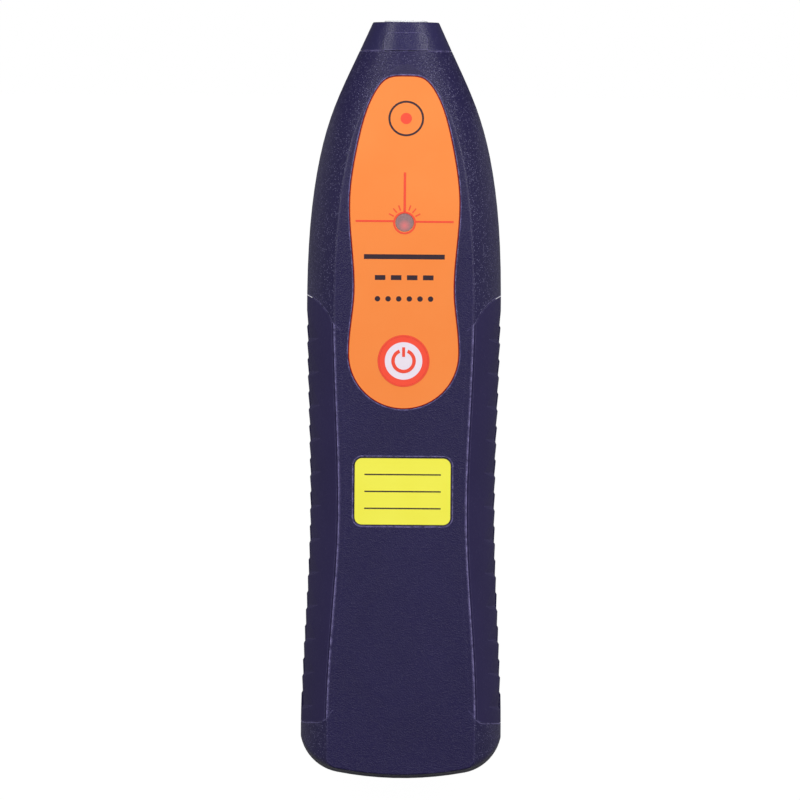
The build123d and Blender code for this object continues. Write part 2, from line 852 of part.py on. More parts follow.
# Circuit board, its parts and its screws.
with BuildPart() as main_board:
    with BuildSketch(Plane.XY.offset(board_bottom)):
        with Locations((0, (board_start_y + board_end_y) / 2)):
            RectangleRounded(board_width, board_end_y - board_start_y, board_thickness)
        with Locations(*board_screw_places):
            Circle(board_screw_radius + screw_clearance, mode=Mode.SUBTRACT)
    extrude(amount=board_thickness)
finish(main_board.part, "main_board")
with BuildSketch() as chip_outline:
    Rectangle(chip_width, chip_length)
with BuildSketch() as inductor_outline:
    Circle(inductor_radius)
with BuildSketch() as capacitor_outline:
    Circle(capacitor_radius)
device_row_y = window_y - device_row_drop
for name, x, y, outline, height in (
    ("driver_chip", chip_x, device_row_y, chip_outline, chip_height),
    ("inductor", inductor_x, device_row_y, inductor_outline, inductor_height),
    ("capacitor", capacitor_x, board_start_y + capacitor_rise, capacitor_outline, capacitor_height),
):
    with BuildPart() as device:
        with BuildSketch(Plane(origin=(x, y, board_top))):
            add(outline.sketch_local)
        extrude(amount=height)
    finish(device.part, name)
with BuildPart() as board_screws:
    with BuildSketch(Plane.XY.offset(board_bottom)):
        with Locations(*board_screw_places):
            Circle(board_screw_head_radius)
    extrude(amount=-board_screw_head)
    with BuildSketch(Plane.XY.offset(board_bottom)):
        with Locations(*board_screw_places):
            Circle(board_screw_radius)
    extrude(amount=board_screw_length)
finish(board_screws.part, "board_screws")
with BuildPart() as housing_screws:
    with BuildSketch(Plane.XY.offset(screw_sunk)):
        with Locations(*screw_places):
            Circle(screw_head_radius)
    extrude(amount=screw_head)
    with BuildSketch(Plane.XY.offset(screw_seat)):
        with Locations(*screw_places):
            Circle(screw_radius)
    extrude(amount=screw_length)
    with BuildSketch(Plane.XY.offset(screw_sunk)):
        with Locations(*screw_places):
            Rectangle(screw_slot_length, screw_slot_width)
            Rectangle(screw_slot_width, screw_slot_length)
    extrude(amount=screw_head / 2, mode=Mode.SUBTRACT)
finish(housing_screws.part, "housing_screws")

# Laser module: barrel, diode and lens.
spigot_start_y = barrel_front_y - adapter_spigot
diode_front_y = barrel_back_y + diode_seat
finish(
    turned(
        (barrel_bore, diode_front_y),
        (diode_flange_radius, diode_front_y),
        (diode_flange_radius, barrel_back_y),
        (barrel_radius, barrel_back_y),
        (barrel_radius, barrel_front_y),
        (barrel_bore, barrel_front_y),
    ),
    "laser_barrel",
)
with BuildPart() as laser_diode:
    add(
        turned(
            (0, diode_front_y - diode_flange),
            (diode_flange_radius, diode_front_y - diode_flange),
            (diode_flange_radius, diode_front_y),
            (diode_can_radius, diode_front_y),
            (diode_can_radius, diode_front_y + diode_can),
            (0, diode_front_y + diode_can),
        )
    )
    with BuildSketch(Plane.XZ.offset(-(diode_front_y - diode_flange))):
        with Locations((0, rear_depth)):
            with PolarLocations(diode_pin_circle, 3):
                Circle(diode_pin_radius)
    extrude(amount=diode_pin_length)
finish(laser_diode.part, "laser_diode")
lens_y = barrel_front_y - lens_from_front
with BuildPart() as focus_lens:
    with BuildSketch(mid_plane):
        with BuildLine():
            back_y = lens_y - lens_thickness / 2
            front_y = lens_y + lens_thickness / 2
            rim = Line((barrel_bore, back_y + lens_bulge), (barrel_bore, front_y - lens_bulge))
            Spline(rim @ 1, (0, front_y), tangents=[(-3, 1), (-1, 0)])
            Line((0, front_y), (0, back_y))
            Spline((0, back_y), rim @ 0, tangents=[(1, 0), (3, 1)])
        make_face()
    revolve(axis=tool_axis)
finish(focus_lens.part, "focus_lens")

# Fibre port: a turned adapter with a ferrule sleeve in it.
sleeve_front_y = nozzle_end_y - nozzle_lip
sleeve_back_y = sleeve_front_y - sleeve_length
finish(
    turned(
        (light_path_radius, spigot_start_y),
        (barrel_bore, spigot_start_y),
        (barrel_bore, barrel_front_y),
        (adapter_radius, barrel_front_y),
        (adapter_radius, flange_front_y - adapter_flange),
        (adapter_flange_radius, flange_front_y - adapter_flange),
        (adapter_flange_radius, flange_front_y),
        (adapter_neck_radius, flange_front_y),
        (adapter_neck_radius, nose_y),
        (nozzle_radius, nose_y),
        (nozzle_radius, nozzle_end_y),
        (nozzle_mouth_radius, nozzle_end_y),
        (nozzle_mouth_radius, sleeve_front_y),
        (sleeve_radius, sleeve_front_y),
        (sleeve_radius, sleeve_back_y),
        (light_path_radius, sleeve_back_y),
    ),
    "port_adapter",
)
finish(
    turned(
        (ferrule_bore_radius, sleeve_back_y),
        (sleeve_radius, sleeve_back_y),
        (sleeve_radius, sleeve_front_y),
        (ferrule_bore_radius, sleeve_front_y),
    ),
    "ferrule_sleeve",
)

# Flip cap with a thumb tab in front and a knuckle behind.
with BuildPart() as thumb_tab:
    with BuildSketch(mid_plane):
        with Locations((0, cap_base_y)):
            tab = Rectangle(thumb_tab_width, thumb_tab_height, align=(Align.CENTER, Align.MIN))
        fillet(tab.vertices().group_by(Axis.Y)[-1], thumb_tab_corner)
    extrude(amount=nose_width)
    add(
        turned(
            (0, cap_base_y - spare),
            (cap_radius(cap_base_y - spare) + thumb_tab_rise, cap_base_y - spare),
            (cap_radius(cap_tip_y) + thumb_tab_rise, cap_tip_y),
            (0, cap_tip_y),
        ),
        mode=Mode.INTERSECT,
    )
with BuildPart() as nose_cap:
    add(
        turned(
            (0, cap_base_y),
            (cap_radius(cap_base_y), cap_base_y),
            (cap_radius(cap_tip_y), cap_tip_y),
            (0, cap_tip_y),
        )
    )
    fillet(nose_cap.edges().filter_by(GeomType.CIRCLE).sort_by(Axis.Y)[-1], cap_edge_radius)
    add(thumb_tab.part)
    add(across(knuckle_radius, -cap_knuckle_width / 2, cap_knuckle_width / 2))
    pocket_end = hinge_width / 2 + knuckle_gap
    add(across(knuckle_radius + knuckle_gap, cap_knuckle_width / 2, pocket_end), mode=Mode.SUBTRACT)
    add(across(knuckle_radius + knuckle_gap, -pocket_end, -cap_knuckle_width / 2), mode=Mode.SUBTRACT)
    add(
        turned(
            (0, cap_base_y - spare),
            (cap_radius(cap_base_y) - cap_wall, cap_base_y - spare),
            (cap_radius(cap_base_y) - cap_wall, cap_base_y),
            (cap_radius(cavity_end_y) - cap_wall, cavity_end_y),
            (plug_neck_radius, cavity_end_y),
            (plug_neck_radius, cap_tip_y + spare),
            (0, cap_tip_y + spare),
        ),
        mode=Mode.SUBTRACT,
    )
    add(across(pin_radius + pin_running_gap, -hinge_width, hinge_width), mode=Mode.SUBTRACT)
finish(nose_cap.part, "nose_cap")
well_end_y = nozzle_end_y + plug_well_gap
finish(
    turned(
        (plug_well_radius, cap_base_y),
        (cap_radius(cap_base_y) - cap_wall, cap_base_y),
        (cap_radius(cavity_end_y) - cap_wall, cavity_end_y),
        (plug_neck_radius, cavity_end_y),
        (plug_neck_radius, cap_tip_y),
        (plug_head_radius, cap_tip_y),
        (plug_head_radius - plug_head, tip_y),
        (0, tip_y),
        (0, well_end_y),
        (plug_well_radius, well_end_y),
    ),
    "cap_plug",
)
finish(across(pin_radius, -hinge_width / 2, hinge_width / 2), "cap_hinge_pin")
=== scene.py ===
from math import cos, radians, sin

import bmesh
import bpy
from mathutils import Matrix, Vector


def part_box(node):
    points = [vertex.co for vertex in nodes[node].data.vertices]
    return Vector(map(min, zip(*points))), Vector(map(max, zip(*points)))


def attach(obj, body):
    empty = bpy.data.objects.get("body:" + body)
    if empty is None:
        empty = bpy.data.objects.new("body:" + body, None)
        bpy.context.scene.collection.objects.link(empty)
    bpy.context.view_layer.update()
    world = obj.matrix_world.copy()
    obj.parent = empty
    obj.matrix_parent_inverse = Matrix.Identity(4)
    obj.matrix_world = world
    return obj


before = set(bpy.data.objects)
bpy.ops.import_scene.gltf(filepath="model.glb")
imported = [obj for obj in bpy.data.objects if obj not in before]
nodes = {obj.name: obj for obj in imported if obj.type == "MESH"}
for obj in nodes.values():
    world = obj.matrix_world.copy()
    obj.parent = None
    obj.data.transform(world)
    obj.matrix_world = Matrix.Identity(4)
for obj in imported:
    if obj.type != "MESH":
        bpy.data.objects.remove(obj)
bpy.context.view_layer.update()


# Housing, back and front halves.
# Two injection-moulded shells of dark navy plastic, screwed together from behind, with a fine
# spark-eroded texture from the mould, painted glints, and lighter edges round the raised front that
# are rubbed wear and painted highlight.
mm = 0.001


def srgb(red, green, blue):
    """A colour as seen on a screen, 0 to 255, as the linear values a shader takes."""
    linear = [
        value / 255 / 12.92 if value <= 10 else ((value / 255 + 0.055) / 1.055) ** 2.4
        for value in (red, green, blue)
    ]
    return (*linear, 1.0)


def toned(colour, strength):
    """A linear colour made darker or lighter."""
    return tuple(value * strength for value in colour[:3]) + (1.0,)


def feed(tree, node, inputs):
    """Link or fill the sockets of a shader node."""
    for socket, value in inputs.items():
        if isinstance(value, bpy.types.NodeSocket):
            tree.links.new(value, node.inputs[socket])
        else:
            node.inputs[socket].default_value = value


def put(tree, kind, inputs=None, **settings):
    """A new shader node with its settings and its sockets."""
    made = tree.nodes.new(kind)
    for key, value in settings.items():
        setattr(made, key, value)
    feed(tree, made, inputs or {})
    return made


def noise(tree, place, scale, detail=2.0, roughness=0.5):
    """A cloudy value from 0 to 1 at a place on the object."""
    return put(tree, "ShaderNodeTexNoise", {
        "Vector": place, "Scale": scale, "Detail": detail, "Roughness": roughness,
    }).outputs["Fac"]


def spread(tree, value, low=0.0, high=1.0, at_low=0.0, at_high=1.0):
    """A value between two levels, spread over another two."""
    return put(tree, "ShaderNodeMapRange", {
        "Value": value, "From Min": low, "From Max": high, "To Min": at_low, "To Max": at_high,
    }).outputs[0]


def reckon(tree, operation, *values):
    """Arithmetic on one or two values."""
    return put(tree, "ShaderNodeMath", dict(enumerate(values)), operation=operation).outputs[0]


def blend(tree, amount, start, end):
    """One colour that goes over into another."""
    return put(
        tree, "ShaderNodeMix", {"Factor": amount, "A": start, "B": end}, data_type="RGBA",
    ).outputs["Result"]


def relief_of(tree, height, distance, strength=1.0):
    """The normal of a surface with a fine relief."""
    return put(tree, "ShaderNodeBump", {
        "Height": height, "Strength": strength, "Distance": distance,
    }).outputs["Normal"]


def effect(name, takes, gives):
    """An empty shader node group with named values in and out."""
    group = bpy.data.node_groups.new(name, "ShaderNodeTree")
    for in_out, sockets in (("INPUT", takes), ("OUTPUT", gives)):
        for socket in sockets:
            group.interface.new_socket(name=socket, in_out=in_out, socket_type="NodeSocketFloat")
    return group, group.nodes.new("NodeGroupInput").outputs, group.nodes.new("NodeGroupOutput")


# Spark-eroded skin: two sizes of grain as a height, and sparse pale flecks painted into the colour
# as glints, where grains would catch the light.
eroded_skin, skin_takes, skin_gives = effect(
    "eroded_skin", ("Grains per metre", "Glint share"), ("Height", "Glints", "Blotches"),
)
skin_place = put(eroded_skin, "ShaderNodeTexCoord").outputs["Object"]
grain = noise(eroded_skin, skin_place, skin_takes["Grains per metre"], detail=3.0, roughness=0.65)
grain_cells = put(eroded_skin, "ShaderNodeTexVoronoi", {
    "Vector": skin_place, "Scale": skin_takes["Grains per metre"], "Randomness": 1.0,
}).outputs
chance = put(eroded_skin, "ShaderNodeSeparateColor", {"Color": grain_cells["Color"]}).outputs["Red"]
rare = reckon(eroded_skin, "SUBTRACT", 1.0, skin_takes["Glint share"])
lucky = reckon(eroded_skin, "GREATER_THAN", chance, rare)
core = spread(eroded_skin, grain_cells["Distance"], low=0.15, high=0.45, at_low=1.0, at_high=0.0)
feed(eroded_skin, skin_gives, {
    "Height": reckon(eroded_skin, "ADD", grain, grain_cells["Distance"]),
    "Glints": reckon(eroded_skin, "MULTIPLY", lucky, core),
    "Blotches": noise(eroded_skin, skin_place, scale=55.0, detail=4.0, roughness=0.6),
})

# Edge masks: where the surface turns sharply, broken up so that the line isn't even. They carry
# rubbed wear and a painted highlight. The brink is the very edge alone, and it carries the film's
# painted shadow.
edge_wear_and_painted_light, edge_mask_takes, edge_mask_gives = effect("edge_wear_and_painted_light", ("Width", "Evenness"), ("Edge", "Brink"))
edge_mask_place = put(edge_wear_and_painted_light, "ShaderNodeTexCoord").outputs["Object"]
true_side = put(edge_wear_and_painted_light, "ShaderNodeNewGeometry").outputs["Normal"]
soft_side = put(
    edge_wear_and_painted_light, "ShaderNodeBevel", {"Radius": edge_mask_takes["Width"]}, samples=6,
).outputs["Normal"]
turn = put(
    edge_wear_and_painted_light, "ShaderNodeVectorMath", {0: true_side, 1: soft_side}, operation="DOT_PRODUCT",
).outputs["Value"]
sharp = spread(edge_wear_and_painted_light, turn, low=0.995, high=0.93)
broken = spread(
    edge_wear_and_painted_light, noise(edge_wear_and_painted_light, edge_mask_place, scale=900.0, detail=3.0),
    low=0.3, high=0.62, at_low=edge_mask_takes["Evenness"],
)
feed(edge_wear_and_painted_light, edge_mask_gives, {
    "Edge": reckon(edge_wear_and_painted_light, "MULTIPLY", sharp, broken),
    "Brink": spread(edge_wear_and_painted_light, turn, low=0.88, high=0.78),
})

# Painted shade in gaps: the colour turns dark where other surfaces crowd in close.
gap_shade, gap_takes, gap_gives = effect("gap_shade", ("Reach", "Depth"), ("Shade",))
crowding = put(
    gap_shade, "ShaderNodeAmbientOcclusion", {"Distance": gap_takes["Reach"]}, samples=6,
).outputs["AO"]
feed(gap_shade, gap_gives, {
    "Shade": spread(
        gap_shade, crowding, low=0.25, high=0.8, at_low=gap_takes["Depth"], at_high=0.0,
    ),
})


def shaded(tree, colour, reach, depth, dark):
    """A colour with painted shade, dark in the gaps round a piece."""
    gaps = put(tree, "ShaderNodeGroup", node_tree=gap_shade)
    feed(tree, gaps, {"Reach": reach, "Depth": depth})
    return blend(tree, gaps.outputs["Shade"], colour, dark)


def edge_wear_and_light_masks(tree, width, evenness):
    """How far each place lies on a sharp edge and on its brink, for wear and for painted edge light.
    """
    rub = put(tree, "ShaderNodeGroup", node_tree=edge_wear_and_painted_light)
    feed(tree, rub, {"Width": width, "Evenness": evenness})
    return rub.outputs


def new_finish(name):
    """A new material, with its tree, its shader and the places that its patterns read."""
    material = bpy.data.materials.new(name)
    material.use_nodes = True
    tree = material.node_tree
    return material, tree, tree.nodes["Principled BSDF"], put(tree, "ShaderNodeTexCoord").outputs


def moulded(name, colour, edge_wear_and_highlight_colour, glint_colour, grain_size, relief, rough,
            edge_width=0.35 * mm, edge_share=0.55, glint_share=0.02, glint_strength=0.5,
            coat=0.0, specular=0.5):
    """Moulded plastic or rubber with a grained skin, a slow drift in its tone, lighter edges of wear
    and painted highlight, painted glints and painted shade in its gaps.
    """
    drift = 0.82, 1.15
    # Painted shade in the gaps round the piece.
    gap_reach, gap_depth, gap_shade_tone = 0.6 * mm, 0.85, 0.2
    gloss_drift = 0.08
    material, tree, shader, place = new_finish(name)
    skin = put(tree, "ShaderNodeGroup", node_tree=eroded_skin)
    feed(tree, skin, {"Grains per metre": 1 / grain_size, "Glint share": glint_share})
    skin = skin.outputs
    look = blend(tree, skin["Blotches"], *(toned(colour, share) for share in drift))
    # Lighter edges: rubbed wear, and a painted highlight where the edges would catch the light.
    edges = edge_wear_and_light_masks(tree, width=edge_width, evenness=0.15)["Edge"]
    look = blend(tree, reckon(tree, "MULTIPLY", edges, edge_share), look, edge_wear_and_highlight_colour)
    # The painted glints are stronger on the sloping sides than on the flat front and back, as the
    # side lamps light the slopes.
    facing = put(tree, "ShaderNodeSeparateXYZ", {"Vector": place["Normal"]}).outputs["Z"]
    slope = spread(
        tree, reckon(tree, "ABSOLUTE", facing),
        low=0.8, high=0.99, at_low=glint_strength, at_high=glint_strength * 0.1,
    )
    look = blend(tree, reckon(tree, "MULTIPLY", skin["Glints"], slope), look, glint_colour)
    feed(tree, shader, {
        "Base Color": shaded(tree, look, gap_reach, gap_depth, toned(colour, gap_shade_tone)),
        "Roughness": spread(
            tree, skin["Height"],
            low=0.4, high=1.2, at_low=rough + gloss_drift, at_high=rough - gloss_drift,
        ),
        "Normal": relief_of(tree, skin["Height"], relief),
        "Coat Weight": coat,
        "Specular IOR Level": specular,
    })
    return material


def dress(material, *names):
    """Give carried-over nodes their material."""
    for name in names:
        mesh = nodes[name].data
        mesh.materials.clear()
        mesh.materials.append(material)


# The lighter edge colour is rubbed wear and a painted highlight; the pale flecks are painted glints.
navy = srgb(36, 30, 73)
navy_edge_wear_and_highlight = srgb(135, 126, 183)
navy_glint = srgb(163, 159, 203)
dress(moulded(
    "housing_plastic", navy, navy_edge_wear_and_highlight, navy_glint,
    grain_size=0.3 * mm, relief=0.055 * mm, rough=0.42, edge_width=0.5 * mm, edge_share=0.95,
    glint_share=0.3, glint_strength=0.5, specular=0.32,
), "front_shell", "rear_shell")

# Battery door.
# A moulded plate of the same plastic that slides into the back half, ridged for a finger.
dress(moulded(
    "door_plastic", navy, navy_edge_wear_and_highlight, navy_glint,
    grain_size=0.32 * mm, relief=0.055 * mm, rough=0.42,
    glint_share=0.24, glint_strength=0.42, specular=0.22,
), "battery_door")

# Side grips.
# Softer rubber, moulded on to each flank with a row of saw-toothed ribs. It is duller and a
# little greyer than the plastic, with sparse pale painted glints in its skin.
dress(moulded(
    "grip_rubber", srgb(48, 42, 81), srgb(100, 94, 142), srgb(109, 107, 142),
    grain_size=0.26 * mm, relief=0.02 * mm, rough=0.6, edge_width=0.3 * mm, edge_share=0.6,
    glint_share=0.06, glint_strength=0.25, specular=0.14,
), "front_left_grip", "front_right_grip", "rear_left_grip", "rear_right_grip")


# Screws, hinge pin and sheet contacts.
# Zinc-plated steel screws and pin, and spring contacts of nickel-plated strip, each with faint
# drawing or turning marks and a slightly cloudy plating.
def plated(name, colour, rough, marks, stretch):
    """Bare or plated metal with fine marks along one direction."""
    cloud_tone = 0.84
    duller, glossier = 0.09, 0.07
    material, tree, shader, place = new_finish(name)
    pulled = put(tree, "ShaderNodeMapping", {"Vector": place["Object"], "Scale": stretch}).outputs[0]
    lines = noise(tree, pulled, marks)
    haze = noise(tree, place["Object"], scale=260.0, detail=4.0)
    feed(tree, shader, {
        "Metallic": 1.0,
        "Base Color": blend(tree, haze, toned(colour, cloud_tone), colour),
        "Roughness": spread(
            tree, lines, low=0.3, high=0.7, at_low=rough - glossier, at_high=rough + duller,
        ),
        "Normal": relief_of(tree, lines, 0.01 * mm, strength=0.6),
    })
    return material


dress(plated(
    "zinc_steel", srgb(196, 196, 200), rough=0.34, marks=3000.0, stretch=(1.0, 1.0, 0.15),
), "housing_screws", "board_screws", "cap_hinge_pin")
dress(plated(
    "spring_strip", srgb(205, 203, 198), rough=0.28, marks=4200.0, stretch=(1.0, 1.0, 0.08),
), "bridge_contact", "negative_contact", "positive_contact")

# Cells.
# Two standard cells side by side, in plain teal sleeves shrunk over the can. Their ends stay
# bare metal, where the sheet contacts press on them.
cell_sleeve, cell_tree, cell_shader, cell_place = new_finish("cell_sleeve")
cell_facing = put(cell_tree, "ShaderNodeSeparateXYZ", {"Vector": cell_place["Normal"]}).outputs["Y"]
bare_end = spread(cell_tree, reckon(cell_tree, "ABSOLUTE", cell_facing), low=0.5, high=0.8)
sleeve_grain = noise(cell_tree, cell_place["Object"], scale=400.0, detail=3.0)
sleeve_teal = blend(cell_tree, sleeve_grain, srgb(30, 74, 92), srgb(48, 104, 122))
feed(cell_tree, cell_shader, {
    "Base Color": blend(cell_tree, bare_end, sleeve_teal, srgb(200, 200, 202)),
    "Metallic": bare_end,
    "Roughness": spread(cell_tree, sleeve_grain, at_low=0.26, at_high=0.38),
})
dress(cell_sleeve, "cell_1", "cell_2")

# Circuit board and what is soldered to it.
# Green lacquered laminate with a faint weave, black resin-bodied parts, a drawn aluminium can
# and a red-tinted lamp under the window. The key's carrier and the switch stem are grey plastic.
board_laminate, board_tree, board_shader, board_place = new_finish("board_laminate")
weave_across, weave_along = (
    put(board_tree, "ShaderNodeTexWave", {
        "Vector": board_place["Object"], "Scale": 320.0, "Distortion": 0.6,
    }, bands_direction=direction).outputs["Fac"]
    for direction in ("X", "Y")
)
feed(board_tree, board_shader, {
    "Base Color": blend(board_tree, weave_across, srgb(18, 84, 44), srgb(26, 102, 54)),
    "Normal": relief_of(
        board_tree, reckon(board_tree, "ADD", weave_across, weave_along), 0.01 * mm, strength=0.5,
    ),
    "Roughness": 0.3,
})
dress(board_laminate, "main_board")
dress(moulded(
    "resin_black", srgb(38, 38, 40), srgb(80, 80, 84), srgb(110, 110, 112),
    grain_size=0.18 * mm, relief=0.015 * mm, rough=0.5, edge_width=0.15 * mm,
), "driver_chip", "inductor", "switch_body")
dress(moulded(
    "inner_plastic", srgb(122, 122, 126), srgb(160, 160, 164), srgb(175, 175, 178),
    grain_size=0.3 * mm, relief=0.015 * mm, rough=0.5, edge_width=0.2 * mm, glint_share=0.01,
), "key_carrier", "switch_stem")
dress(plated(
    "drawn_can", srgb(212, 212, 216), rough=0.3, marks=2600.0, stretch=(1.0, 1.0, 0.1),
), "capacitor")
dress(moulded(
    "lamp_resin", srgb(196, 70, 60), srgb(225, 120, 108), srgb(235, 150, 140),
    grain_size=0.5 * mm, relief=0.004 * mm, rough=0.2, edge_width=0.2 * mm, glint_share=0.01,
    coat=0.4,
), "indicator_led")

# Laser module and fibre port.
# A turned brass barrel that holds the diode and a small lens, screwed behind a nickel-plated
# adapter whose nozzle carries a ground ceramic sleeve for the ferrule.
turned_marks = (0.12, 1.0, 0.12)
dress(plated(
    "turned_brass", srgb(214, 176, 104), rough=0.26, marks=3600.0, stretch=turned_marks,
), "laser_barrel", "laser_diode")
dress(plated(
    "nickel_plate", srgb(214, 211, 204), rough=0.2, marks=3800.0, stretch=turned_marks,
), "port_adapter")
dress(moulded(
    "ground_ceramic", srgb(240, 238, 230), srgb(250, 249, 245), srgb(252, 251, 248),
    grain_size=0.12 * mm, relief=0.004 * mm, rough=0.22, edge_width=0.1 * mm,
), "ferrule_sleeve")
lens_glass, lens_tree, lens_shader, lens_place = new_finish("lens_glass")
lens_polish = noise(lens_tree, lens_place["Object"], scale=600.0)
feed(lens_tree, lens_shader, {
    "Base Color": srgb(238, 246, 252),
    "Roughness": spread(lens_tree, lens_polish, at_low=0.02, at_high=0.06),
    "Transmission Weight": 1.0,
    "IOR": 1.52,
})
dress(lens_glass, "focus_lens")

# Printed film.
# Polyester sheet printed orange, die-cut and laid in a shallow recess. Its cut edge is a
# lighter line. Its dark red brink and cut sides are painted shadow, and so is the dark in the gaps
# round it. The sheet has a faint orange-peel surface.
film_orange, film_tree, film_shader, film_place = new_finish("film_orange")
peel = noise(film_tree, film_place["Object"], scale=1500.0)
ink_cloud = noise(film_tree, film_place["Object"], scale=90.0, detail=4.0)
film_edges = edge_wear_and_light_masks(film_tree, width=0.2 * mm, evenness=0.8)
film_look = blend(film_tree, ink_cloud, srgb(252, 139, 66), srgb(254, 147, 74))
film_look = blend(film_tree, film_edges["Edge"], film_look, srgb(254, 206, 142))
# The dark red brink is painted shadow.
film_look = blend(film_tree, film_edges["Brink"], film_look, srgb(150, 28, 30))
film_up = put(film_tree, "ShaderNodeSeparateXYZ", {"Vector": film_place["Normal"]}).outputs["Z"]
# The cut sides are painted dark red as shadow.
film_side_shadow = spread(film_tree, film_up, low=0.2, high=0.7, at_low=1.0, at_high=0.0)
film_look = blend(film_tree, film_side_shadow, film_look, srgb(170, 30, 30))
# The film darkens with painted shade in the gaps round it.
feed(film_tree, film_shader, {
    "Base Color": shaded(
        film_tree, film_look, reach=0.4 * mm, depth=0.8, dark=srgb(96, 14, 20),
    ),
    "Roughness": spread(film_tree, ink_cloud, at_low=0.36, at_high=0.46),
    "Normal": relief_of(film_tree, peel, 0.01 * mm, strength=0.35),
    "Specular IOR Level": 0.2,
})
dress(film_orange, "front_overlay")


# Print on the film.
# Red and dark screen inks in a thin raised layer: a fibre seen end on, as a circle with a dot,
# cross lines, short rays and a ring round the window, and three rows of light-pattern marks.
ink_layer = 0.03 * mm
print_height = 30 * mm      # flat prints start here and drop on to the surface below


def ink(name, colour):
    """Screen ink: a flat colour broken by fine pinholes, a little glossier than the film."""
    material, tree, shader, place = new_finish(name)
    pinholes = noise(tree, place["Object"], scale=2600.0)
    thin, full = toned(colour, 0.9), tuple(min(1.0, value) for value in toned(colour, 1.08))
    feed(tree, shader, {
        "Base Color": blend(tree, pinholes, thin, full),
        "Roughness": spread(tree, pinholes, at_low=0.34, at_high=0.46),
        "Specular IOR Level": 0.3,
    })
    return material


def wear(piece, material):
    """Give a new piece its one material."""
    piece.data.materials.clear()
    piece.data.materials.append(material)


def start_shaping(piece):
    """Go into edit mode on a piece, with all of it selected."""
    bpy.context.view_layer.objects.active = piece
    bpy.ops.object.mode_set(mode="EDIT")
    bpy.ops.mesh.select_all(action="SELECT")


def stop_shaping():
    """Go back to object mode."""
    bpy.ops.object.mode_set(mode="OBJECT")


def pick(piece, kind, wanted):
    """In edit mode, select only the faces or the edges that pass a test."""
    bpy.ops.mesh.select_all(action="DESELECT")
    form = bmesh.from_edit_mesh(piece.data)
    for element in getattr(form, kind):
        element.select = wanted(element)
    bmesh.update_edit_mesh(piece.data)


def bar(x, y, width, length, turn=0.0, cuts=7):
    """A printed bar: a plane cut into small faces so that it can follow the curved front."""
    bpy.ops.mesh.primitive_plane_add(
        size=1, location=(x, y, print_height), rotation=(0, 0, turn),
    )
    strip = bpy.context.object
    strip.scale = (width, length, 1)
    bpy.ops.object.transform_apply(location=False, rotation=False, scale=True)
    start_shaping(strip)
    bpy.ops.mesh.subdivide(number_cuts=cuts)
    stop_shaping()
    bpy.ops.object.transform_apply(location=True, rotation=True, scale=True)
    return strip


def ring(x, y, outer, inner, sides=96):
    """A printed ring: a disc inset to the ring's width, its middle taken out."""
    bpy.ops.mesh.primitive_circle_add(
        vertices=sides, radius=outer, fill_type="NGON", location=(x, y, print_height),
    )
    loop = bpy.context.object
    start_shaping(loop)
    bpy.ops.mesh.inset(thickness=outer - inner)
    bpy.ops.mesh.delete(type="FACE")
    stop_shaping()
    bpy.ops.object.transform_apply(location=True, rotation=True, scale=True)
    return loop


def dot(x, y, radius, sides):
    """A printed dot: a ring with only a pinhole in it."""
    return ring(x, y, radius, 0.02 * mm, sides)


def thicken(layer, thickness):
    """Give a flat print its thickness, half above and half below."""
    build = layer.modifiers.new("build", "SOLIDIFY")
    build.thickness = thickness
    build.offset = 0.0
    bpy.ops.object.modifier_apply(modifier="build")
    start_shaping(layer)
    bpy.ops.mesh.normals_make_consistent(inside=False)
    stop_shaping()


def lay(prints, name, surface, material):
    """Join flat prints, drop them on to a surface and give them an ink's thickness."""
    bpy.ops.object.select_all(action="DESELECT")
    for flat in prints:
        flat.select_set(True)
    bpy.context.view_layer.objects.active = prints[0]
    if len(prints) > 1:
        bpy.ops.object.join()
    layer = bpy.context.object
    layer.name = layer.data.name = name
    drop = layer.modifiers.new("drop", "SHRINKWRAP")
    drop.target = nodes[surface]
    drop.wrap_method = "PROJECT"
    drop.use_project_z = True
    drop.use_negative_direction = True
    drop.use_positive_direction = False
    bpy.ops.object.modifier_apply(modifier="drop")
    thicken(layer, 2 * ink_layer)
    wear(layer, material)
    return layer


red_ink = ink("red_ink", srgb(253, 82, 60))
dark_ink = ink("dark_ink", srgb(57, 42, 52))
window_low, window_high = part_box("led_window")
window_y = (window_low[1] + window_high[1]) / 2
key_low, key_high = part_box("power_button")
key_y = (key_low[1] + key_high[1]) / 2

# Cut edge of the film: a thin dark red bead along its outer edge, a painted shadow where the film
# meets its recess.
edge_shadow_radius = 0.11 * mm
top_slope = 0.7     # faces that lean more than this are the film's cut sides
key_clear = 0.6 * (key_high[0] - key_low[0])
window_clear = 0.8 * (window_high[0] - window_low[0])
film_edge_shadow = bpy.data.objects.new("film_edge_shadow", nodes["front_overlay"].data.copy())
bpy.context.collection.objects.link(film_edge_shadow)
bpy.ops.object.select_all(action="DESELECT")
film_edge_shadow.select_set(True)


def off_the_rim(edge):
    """Edges inside the film's top face, and those round its holes for key and window."""
    middle = (edge.verts[0].co + edge.verts[1].co) / 2
    from_key = (middle - Vector((0, key_y, middle.z))).length
    from_window = (middle - Vector((0, window_y, middle.z))).length
    return not edge.is_boundary or from_key < key_clear or from_window < window_clear


start_shaping(film_edge_shadow)
bpy.ops.mesh.remove_doubles(threshold=0.001 * mm)
pick(film_edge_shadow, "faces", lambda face: face.normal.z < top_slope)
bpy.ops.mesh.delete(type="FACE")
pick(film_edge_shadow, "edges", off_the_rim)
bpy.ops.mesh.delete(type="EDGE_FACE")
bpy.ops.mesh.select_all(action="SELECT")
bpy.ops.mesh.delete_loose(use_verts=True, use_edges=False, use_faces=False)
stop_shaping()
bpy.ops.object.convert(target="CURVE")
film_edge_shadow.data.bevel_depth = edge_shadow_radius
film_edge_shadow.data.bevel_resolution = 1
bpy.ops.object.convert(target="MESH")
